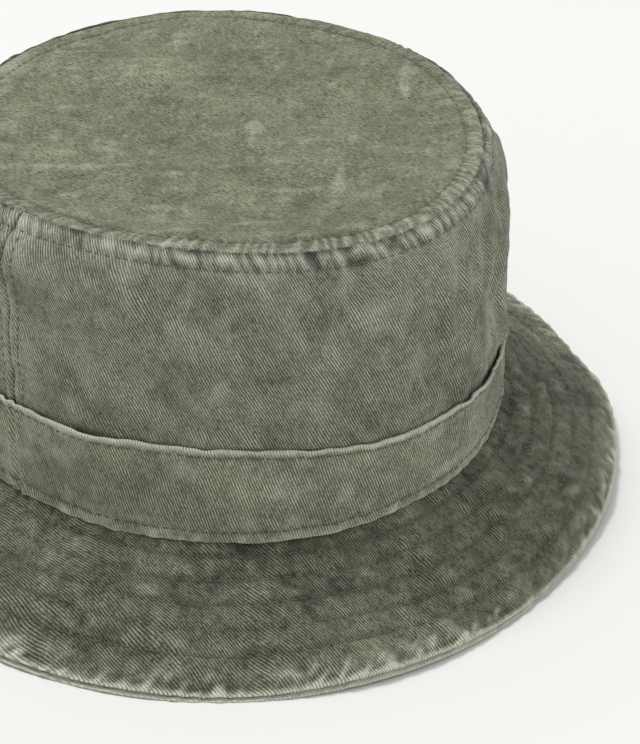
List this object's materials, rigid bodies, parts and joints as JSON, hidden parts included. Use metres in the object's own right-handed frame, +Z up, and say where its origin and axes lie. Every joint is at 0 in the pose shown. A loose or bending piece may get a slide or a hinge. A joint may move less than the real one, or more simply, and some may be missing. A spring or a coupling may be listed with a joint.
{
  "type": "bucket hat",
  "caption": "Washed cotton twill bucket hat with a flat-topped crown, a stitched-down hat band and a sloping brim quilted with rows of stitching.",
  "frame": {"origin": "middle of the hat on the plane that the brim's edge rests on", "axes": "+Z up through the crown, front of the hat at -Y, wearer's left side at +X and right side at -X seen from above"},
  "size_m": [0.2792, 0.2792, 0.1288],
  "materials": {
    "crown": "washed cotton twill, olive, worn lighter on ridges and seams",
    "brim": "washed cotton twill, darker olive, quilted by rows of stitching",
    "brim_lining": "washed cotton twill, olive, worn pale at the edge",
    "hat_band": "washed cotton twill, olive, worn pale along the folded edges",
    "sweatband": "smooth cotton twill tape, matt",
    "interlining": "stiff woven cotton, unbleached",
    "tape": "cotton seam binding, matt",
    "thread": "spun polyester sewing thread, olive",
    "label": "plain woven label, blank"
  },
  "bodies": {
    "hat": {"band_stitch_bottom": "thread", "band_stitch_top": "thread", "brim_interlining": "interlining", "brim_stitch_row_1": "thread", "brim_stitch_row_2": "thread", "brim_stitch_row_3": "thread", "brim_stitch_row_4": "thread", "brim_stitch_row_5": "thread", "brim_under_back": "brim_lining", "brim_under_front": "brim_lining", "brim_upper_back": "brim", "brim_upper_front": "brim", "crown_side_back": "crown", "crown_side_front": "crown", "crown_tip": "crown", "hat_band": "hat_band", "side_seam_tape_left": "tape", "side_seam_tape_right": "tape", "side_topstitch_left": "thread", "side_topstitch_right": "thread", "sweatband": "sweatband", "sweatband_stitch": "thread", "tip_seam_tape": "tape", "tip_topstitch": "thread", "wall_topstitch": "thread"},
    "brim_front": {"brim_interlining_fold": "interlining", "brim_stitch_row_3_fold": "thread", "brim_stitch_row_4_fold": "thread", "brim_stitch_row_5_fold": "thread", "brim_under_fold": "brim_lining", "brim_upper_fold": "brim"},
    "label": {"size_label": "label"}
  },
  "joints": [
    {"name": "brim_front_fold", "type": "hinge", "parent": "hat", "child": "brim_front", "pos_m": [0, -0.109, 0.0195], "axis": [-1, 0, 0], "range_deg": [0, 110]},
    {"name": "label_flap", "type": "hinge", "parent": "hat", "child": "label", "pos_m": [0, 0.09027, 0.0567], "axis": [-1, 0, 0], "range_deg": [0, 150]}
  ]
}
